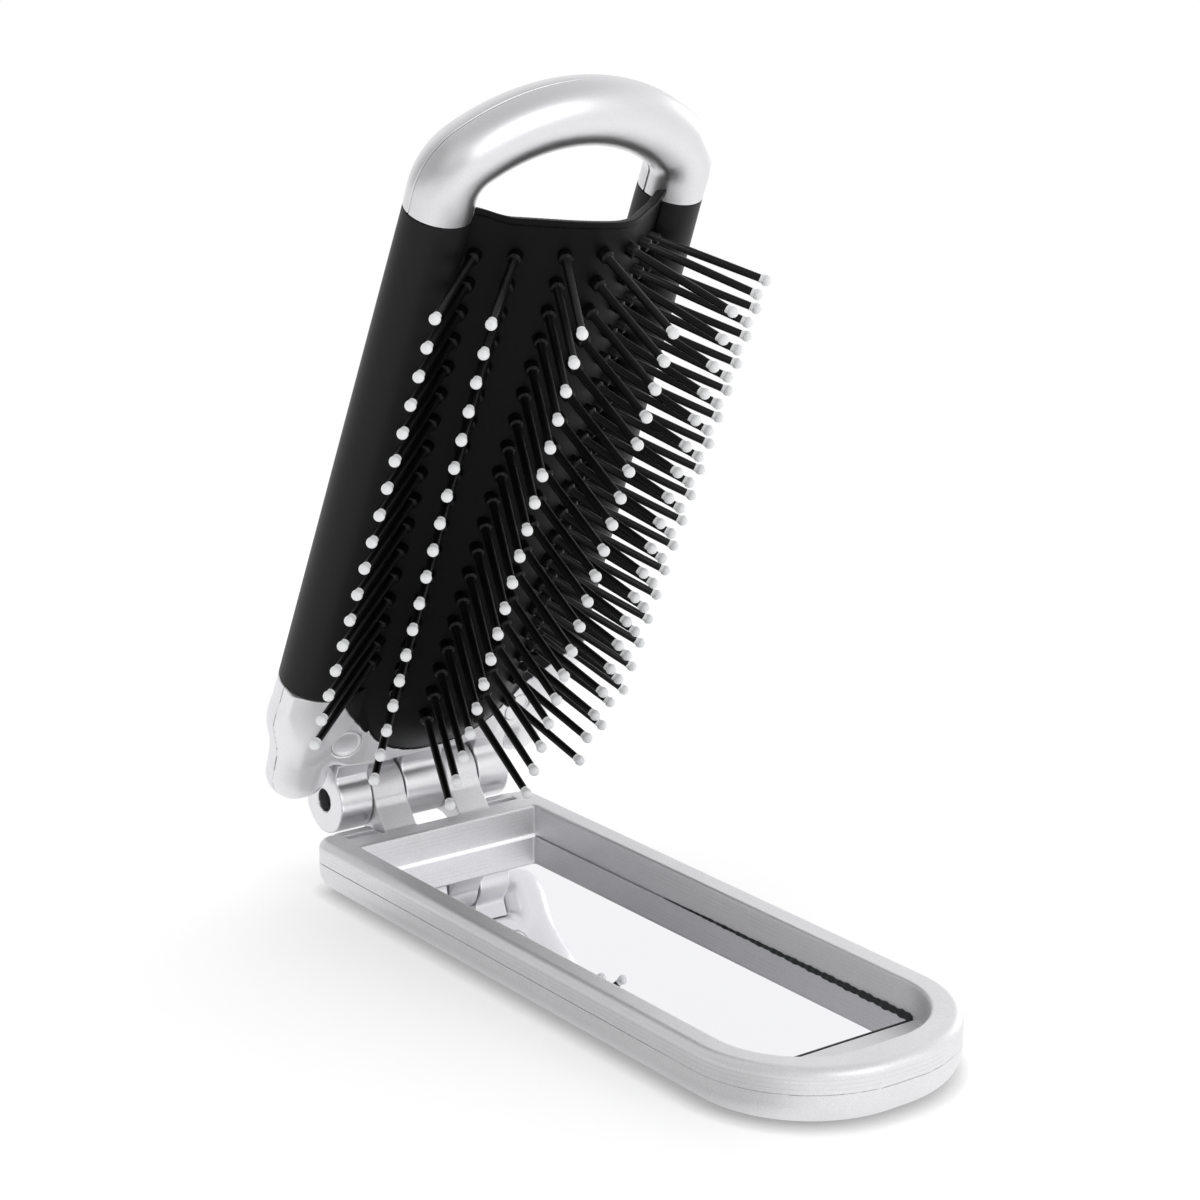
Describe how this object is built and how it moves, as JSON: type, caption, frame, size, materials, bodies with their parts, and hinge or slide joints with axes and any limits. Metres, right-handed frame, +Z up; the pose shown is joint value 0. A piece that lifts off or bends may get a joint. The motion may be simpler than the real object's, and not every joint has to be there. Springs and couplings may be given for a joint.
{
  "type": "folding hairbrush with mirror",
  "caption": "Pocket hairbrush whose rubber bristle pad, held between two side rails under a finger loop, folds on a hinge into a flat handle with a mirror.",
  "frame": {"origin": "centre of the handle's flat underside, which is the face the brush rests on", "axes": "+Z up out of the mirror, +X along the hinge, -Y towards the handle's round end"},
  "size_m": [0.0548, 0.109, 0.1123],
  "materials": {
    "silver_plastic": "satin silver paint on ABS",
    "soft_black": "matte soft-touch coat",
    "pad_rubber": "matte moulded rubber",
    "bristle_nylon": "semi-gloss nylon",
    "tip_white": "white ball tips",
    "mirror_glass": "silvered flat glass",
    "foam_tape": "double-sided foam tape",
    "pin_steel": "plain steel",
    "core_plastic": "moulded core rod"
  },
  "bodies": {
    "handle": {"handle_frame": "silver_plastic", "handle_cover": "silver_plastic", "mirror_tape": "foam_tape", "mirror_glass": "mirror_glass"},
    "pin": {"hinge_pin": "pin_steel"},
    "head": {"base_back": "silver_plastic", "base_front": "silver_plastic", "base_screws": "pin_steel", "plug_left": "silver_plastic", "plug_right": "silver_plastic", "core_rod_left": "core_plastic", "core_rod_right": "core_plastic", "sleeve_left": "soft_black", "sleeve_right": "soft_black", "loop_back": "silver_plastic", "loop_front": "silver_plastic", "bristle_pad": "pad_rubber", "pins_1": "bristle_nylon", "pins_2": "bristle_nylon", "pins_3": "bristle_nylon", "pins_4": "bristle_nylon", "pins_5": "bristle_nylon", "pins_6": "bristle_nylon", "pins_7": "bristle_nylon", "tips_1": "tip_white", "tips_2": "tip_white", "tips_3": "tip_white", "tips_4": "tip_white", "tips_5": "tip_white", "tips_6": "tip_white", "tips_7": "tip_white"}
  },
  "joints": [
    {"name": "head_open", "type": "hinge", "parent": "handle", "child": "pin", "pos_m": [0, 0.0538, 0.011], "axis": [-1, 0, 0], "range_deg": [0, 113.65]},
    {"name": "head_shut", "type": "hinge", "parent": "pin", "child": "head", "pos_m": [0, 0.0538, 0.011], "axis": [-1, 0, 0], "range_deg": [-66.35, 0], "deforming": ["bristle_pad", "pins_1", "pins_2", "pins_3", "pins_4", "pins_5", "pins_6", "pins_7", "tips_1", "tips_2", "tips_3", "tips_4", "tips_5", "tips_6", "tips_7"]}
  ]
}
